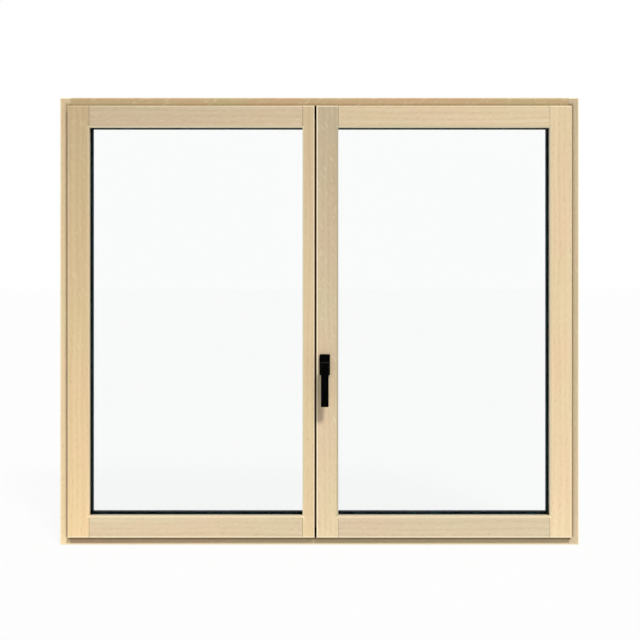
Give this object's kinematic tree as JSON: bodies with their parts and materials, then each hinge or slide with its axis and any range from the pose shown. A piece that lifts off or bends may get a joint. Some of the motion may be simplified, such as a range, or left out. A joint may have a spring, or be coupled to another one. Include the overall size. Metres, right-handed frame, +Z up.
{
  "type": "two-sash wood-aluminium window",
  "caption": "Closed casement window with side-by-side sashes: oak indoors, dark aluminium covers outdoors, sealed glazing and a black turning lever handle.",
  "frame": {"origin": "middle of the frame's bottom face, halfway through the wooden frame's depth", "axes": "+Z up, +X to the right seen from indoors, -Y indoors, +Y outdoors"},
  "size_m": [1.5, 0.162, 1.292],
  "materials": {
    "oak": "matt clear oil",
    "skin": "matt powder coat",
    "rubber": "matt",
    "edge_bar": "matt",
    "glass": "clear",
    "plastic": "moulded",
    "steel": "satin zinc",
    "handle_black": "satin black"
  },
  "bodies": {
    "window": {"frame_left_jamb": "oak", "frame_right_jamb": "oak", "frame_head": "oak", "frame_sill": "oak", "frame_cover_left": "skin", "frame_cover_top": "skin", "frame_cover_right": "skin", "frame_cover_bottom": "skin", "weep_caps": "plastic", "cover_clips": "plastic", "overlap_seals": "rubber", "middle_seals": "rubber", "concealed_hinges": "steel", "lock_strip": "steel", "left_sash_outer_stile": "oak", "left_sash_meeting_stile": "oak", "left_sash_top_rail": "oak", "left_sash_bottom_rail": "oak", "left_sash_cover_left": "skin", "left_sash_cover_top": "skin", "left_sash_cover_right": "skin", "left_sash_cover_bottom": "skin", "left_sash_inner_pane": "glass", "left_sash_middle_pane": "glass", "left_sash_outer_pane": "glass", "left_sash_spacers": "edge_bar", "left_sash_inner_glazing_seal": "rubber", "left_sash_outer_glazing_seal": "rubber", "right_sash_outer_stile": "oak", "right_sash_meeting_stile": "oak", "right_sash_top_rail": "oak", "right_sash_bottom_rail": "oak", "right_sash_cover_left": "skin", "right_sash_cover_top": "skin", "right_sash_cover_right": "skin", "right_sash_cover_bottom": "skin", "right_sash_inner_pane": "glass", "right_sash_middle_pane": "glass", "right_sash_outer_pane": "glass", "right_sash_spacers": "edge_bar", "right_sash_inner_glazing_seal": "rubber", "right_sash_outer_glazing_seal": "rubber", "glazing_blocks": "plastic", "handle_plate": "handle_black"},
    "handle": {"handle_lever": "handle_black"}
  },
  "joints": [
    {"name": "handle_turn", "type": "hinge", "parent": "window", "child": "handle", "pos_m": [0.015, -0.06, 0.523], "axis": [0, -1, 0], "range_deg": [0, 180]}
  ]
}
